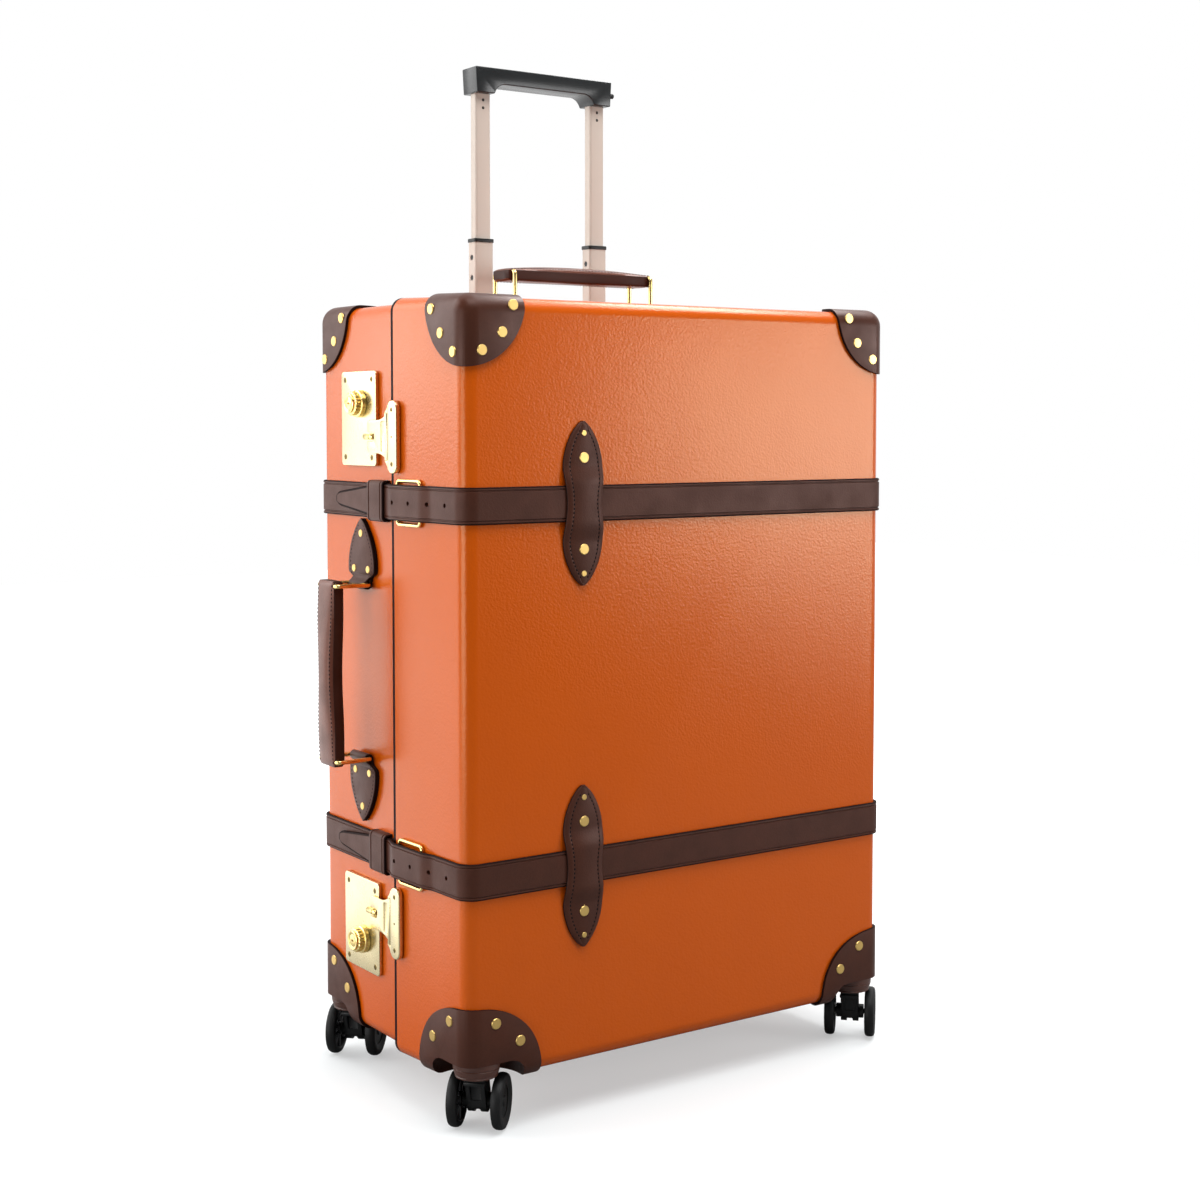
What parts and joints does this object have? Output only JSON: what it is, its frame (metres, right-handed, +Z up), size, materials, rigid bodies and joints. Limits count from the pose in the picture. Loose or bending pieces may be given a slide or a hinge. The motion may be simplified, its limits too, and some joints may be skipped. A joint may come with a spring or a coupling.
{
  "type": "trolley suitcase",
  "caption": "Upright rectangular hard suitcase on swivel castors, with a hinged lid, leather corners and straps, brass locks, carry handles and a telescopic trolley handle.",
  "frame": {"origin": "on the floor, under the middle of the object's footprint", "axes": "+Z up, -Y out of the lid's front face, -X out of the side with the locks and the carry handle"},
  "size_m": [0.5899, 0.3284, 1.0586],
  "materials": {
    "lacquer": "orange lacquered fibre board with a fine grain, semi-gloss",
    "lining": "plain woven lining cloth",
    "leather": "dark brown smooth leather, lightly waxed",
    "brass": "polished brass",
    "castor_plastic": "black moulded plastic",
    "wheel": "black wheel with a pale hub",
    "tube": "champagne anodised tube",
    "sleeve": "plain sleeve inside the back wall",
    "grip_plastic": "dark grey moulded plastic"
  },
  "bodies": {
    "base": {"base_shell": "lacquer", "base_lining": "lining", "top_corner_base_lock": "leather", "top_corner_base_hinge": "leather", "castor_corner_base_lock": "leather", "castor_corner_base_hinge": "leather", "lock_plate_upper": "brass", "lock_plate_lower": "brass", "strap_base_upper": "leather", "strap_base_lower": "leather", "strap_keeper_upper": "leather", "strap_keeper_lower": "leather", "strap_loop_back_upper": "leather", "strap_loop_back_lower": "leather", "side_handle_tab_upper": "leather", "side_handle_tab_lower": "leather", "top_handle_tab_lock": "leather", "top_handle_tab_hinge": "leather", "trolley_housing": "sleeve", "hinge_leaf_base": "brass", "hinge_pin": "brass"},
    "lid": {"lid_shell": "lacquer", "lid_lining": "lining", "top_corner_lid_lock": "leather", "top_corner_lid_hinge": "leather", "castor_corner_lid_lock": "leather", "castor_corner_lid_hinge": "leather", "strap_lid_upper": "leather", "strap_lid_lower": "leather", "strap_buckle_upper": "brass", "strap_buckle_lower": "brass", "strap_loop_front_upper": "leather", "strap_loop_front_lower": "leather", "lock_bar_upper": "brass", "lock_bar_lower": "brass", "hinge_leaf_lid": "brass"},
    "trolley_lower": {"trolley_lower_tube_lock": "tube", "trolley_lower_tube_hinge": "tube"},
    "trolley_upper": {"trolley_upper_tube_lock": "tube", "trolley_upper_tube_hinge": "tube", "trolley_grip": "grip_plastic"},
    "trolley_button": {"trolley_button": "grip_plastic"},
    "side_ring_lower": {"side_handle_ring_lower": "brass"},
    "side_ring_upper": {"side_handle_ring_upper": "brass"},
    "side_grip": {"side_handle_grip": "leather"},
    "top_ring_lock": {"top_handle_ring_lock": "brass"},
    "top_ring_hinge": {"top_handle_ring_hinge": "brass"},
    "top_grip": {"top_handle_grip": "leather"},
    "hasp_upper": {"lock_hasp_upper": "brass"},
    "knob_upper": {"lock_knob_upper": "brass"},
    "hasp_lower": {"lock_hasp_lower": "brass"},
    "knob_lower": {"lock_knob_lower": "brass"},
    "castor_lid_lock": {"castor_fork_lid_lock": "castor_plastic"},
    "wheels_lid_lock": {"castor_wheels_lid_lock": "wheel"},
    "castor_lid_hinge": {"castor_fork_lid_hinge": "castor_plastic"},
    "wheels_lid_hinge": {"castor_wheels_lid_hinge": "wheel"},
    "castor_base_lock": {"castor_fork_base_lock": "castor_plastic"},
    "wheels_base_lock": {"castor_wheels_base_lock": "wheel"},
    "castor_base_hinge": {"castor_fork_base_hinge": "castor_plastic"},
    "wheels_base_hinge": {"castor_wheels_base_hinge": "wheel"}
  },
  "joints": [
    {"name": "lid_hinge", "type": "hinge", "parent": "base", "child": "lid", "pos_m": [0.28076, -0.02207, 0.4215], "axis": [0, 0, 1], "range_deg": [0, 110], "deforming": ["strap_lid_upper", "strap_lid_lower"]},
    {"name": "hasp_upper_swing", "type": "hinge", "parent": "lid", "child": "hasp_upper", "pos_m": [-0.25579, -0.01962, 0.661], "axis": [0, 0, 1], "range_deg": [0, 145]},
    {"name": "knob_upper_turn", "type": "hinge", "parent": "base", "child": "knob_upper", "pos_m": [-0.25204, 0.04393, 0.694], "axis": [-1, 0, 0], "range_deg": [0, 90]},
    {"name": "hasp_lower_swing", "type": "hinge", "parent": "lid", "child": "hasp_lower", "pos_m": [-0.25579, -0.01962, 0.182], "axis": [0, 0, 1], "range_deg": [0, 145]},
    {"name": "knob_lower_turn", "type": "hinge", "parent": "base", "child": "knob_lower", "pos_m": [-0.25204, 0.04393, 0.149], "axis": [-1, 0, 0], "range_deg": [0, 90]},
    {"name": "side_ring_lower_swing", "type": "hinge", "parent": "base", "child": "side_ring_lower", "pos_m": [-0.25384, 0.04393, 0.3365], "axis": [0, 1, 0], "range_deg": [-60, 60]},
    {"name": "side_ring_upper_swing", "type": "hinge", "parent": "base", "child": "side_ring_upper", "pos_m": [-0.25384, 0.04393, 0.5125], "axis": [0, 1, 0], "range_deg": [-60, 60]},
    {"name": "side_grip_level", "type": "hinge", "parent": "side_ring_lower", "child": "side_grip", "pos_m": [-0.28984, 0.04393, 0.3365], "axis": [0, 1, 0], "range_deg": [-60, 60]},
    {"name": "top_ring_lock_swing", "type": "hinge", "parent": "base", "child": "top_ring_lock", "pos_m": [-0.07574, 0.05293, 0.7976], "axis": [0, 1, 0], "range_deg": [-60, 60]},
    {"name": "top_ring_hinge_swing", "type": "hinge", "parent": "base", "child": "top_ring_hinge", "pos_m": [0.10026, 0.05293, 0.7976], "axis": [0, 1, 0], "range_deg": [-60, 60]},
    {"name": "top_grip_level", "type": "hinge", "parent": "top_ring_lock", "child": "top_grip", "pos_m": [-0.07574, 0.05293, 0.8336], "axis": [0, 1, 0], "range_deg": [-60, 60]},
    {"name": "trolley_lower_slide", "type": "slide", "parent": "base", "child": "trolley_lower", "axis": [0, 0, 1], "range_m": [-0.076, 0]},
    {"name": "trolley_upper_slide", "type": "slide", "parent": "trolley_lower", "child": "trolley_upper", "axis": [0, 0, 1], "range_m": [-0.1555, 0]},
    {"name": "trolley_button_press", "type": "slide", "parent": "trolley_upper", "child": "trolley_button", "axis": [-1, 0, 0], "range_m": [0, 0.002], "stiffness_N_per_m": 300},
    {"name": "castor_lid_lock_swivel", "type": "hinge", "parent": "lid", "child": "castor_lid_lock", "pos_m": [-0.22574, -0.13457, 0.0515], "axis": [0, 0, 1], "continuous": true},
    {"name": "wheels_lid_lock_spin", "type": "hinge", "parent": "castor_lid_lock", "child": "wheels_lid_lock", "pos_m": [-0.21867, -0.1275, 0.02697], "axis": [-0.7071, 0.7071, 0], "continuous": true},
    {"name": "castor_lid_hinge_swivel", "type": "hinge", "parent": "lid", "child": "castor_lid_hinge", "pos_m": [0.25026, -0.13457, 0.0515], "axis": [0, 0, 1], "continuous": true},
    {"name": "wheels_lid_hinge_spin", "type": "hinge", "parent": "castor_lid_hinge", "child": "wheels_lid_hinge", "pos_m": [0.25733, -0.1275, 0.02697], "axis": [-0.7071, 0.7071, 0], "continuous": true},
    {"name": "castor_base_lock_swivel", "type": "hinge", "parent": "base", "child": "castor_base_lock", "pos_m": [-0.22574, 0.12043, 0.0515], "axis": [0, 0, 1], "continuous": true},
    {"name": "wheels_base_lock_spin", "type": "hinge", "parent": "castor_base_lock", "child": "wheels_base_lock", "pos_m": [-0.21867, 0.1275, 0.02697], "axis": [-0.7071, 0.7071, 0], "continuous": true},
    {"name": "castor_base_hinge_swivel", "type": "hinge", "parent": "base", "child": "castor_base_hinge", "pos_m": [0.25026, 0.12043, 0.0515], "axis": [0, 0, 1], "continuous": true},
    {"name": "wheels_base_hinge_spin", "type": "hinge", "parent": "castor_base_hinge", "child": "wheels_base_hinge", "pos_m": [0.25733, 0.1275, 0.02697], "axis": [-0.7071, 0.7071, 0], "continuous": true}
  ],
  "couplings": [
    {"joint": "side_ring_upper_swing", "follows": "side_ring_lower_swing", "ratio": 1},
    {"joint": "side_grip_level", "follows": "side_ring_lower_swing", "ratio": -1},
    {"joint": "top_ring_hinge_swing", "follows": "top_ring_lock_swing", "ratio": 1},
    {"joint": "top_grip_level", "follows": "top_ring_lock_swing", "ratio": -1}
  ]
}
